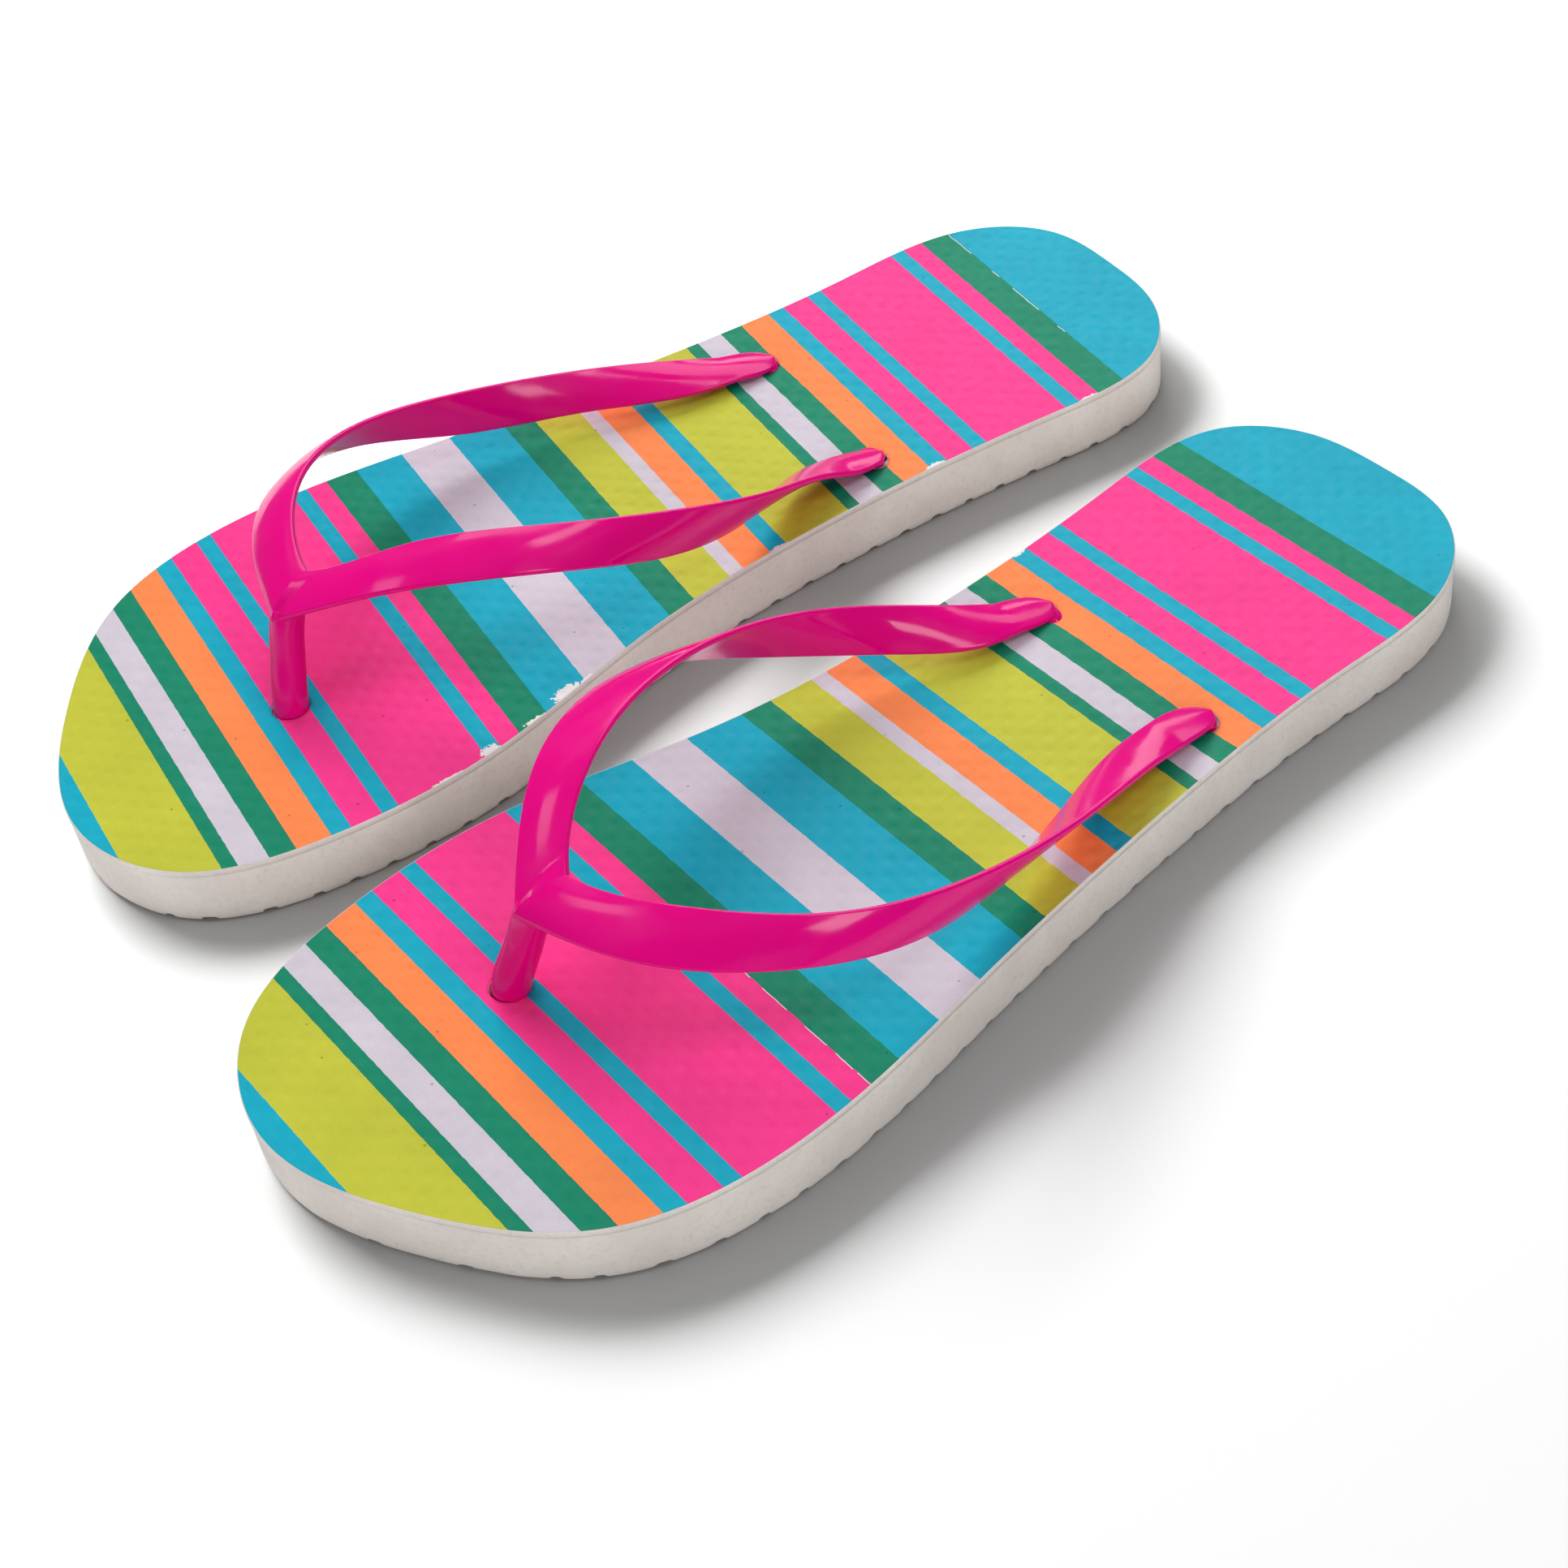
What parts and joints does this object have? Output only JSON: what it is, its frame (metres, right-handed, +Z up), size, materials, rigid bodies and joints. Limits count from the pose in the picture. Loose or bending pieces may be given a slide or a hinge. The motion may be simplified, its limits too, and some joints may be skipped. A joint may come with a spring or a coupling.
{
  "type": "pair of flip-flops",
  "caption": "Pair of striped flip-flops: foam soles with an embossed, printed footbed and a glossy Y-shaped toe-post strap.",
  "frame": {"origin": "centre of the pair's bounding box, on the ground", "axes": "+Y from heels to toes, +X towards the wearer's right, +Z up from the ground"},
  "size_m": [0.21, 0.2618, 0.0457],
  "materials": {
    "foam": "matte, finely pored pale foam",
    "print": "satin printed sheet with cross stripes in turquoise, lime, green, white, orange and pink",
    "strap": "glossy magenta moulded plastic"
  },
  "bodies": {
    "left_shoe": {"left_foam_sole": "foam", "left_printed_footbed": "print", "left_strap": "strap"},
    "right_shoe": {"right_foam_sole": "foam", "right_printed_footbed": "print", "right_strap": "strap"}
  },
  "joints": [
    {"name": "right_shoe_lift", "type": "slide", "parent": "left_shoe", "child": "right_shoe", "axis": [0, 0, 1], "range_m": [0, 0.15]}
  ]
}
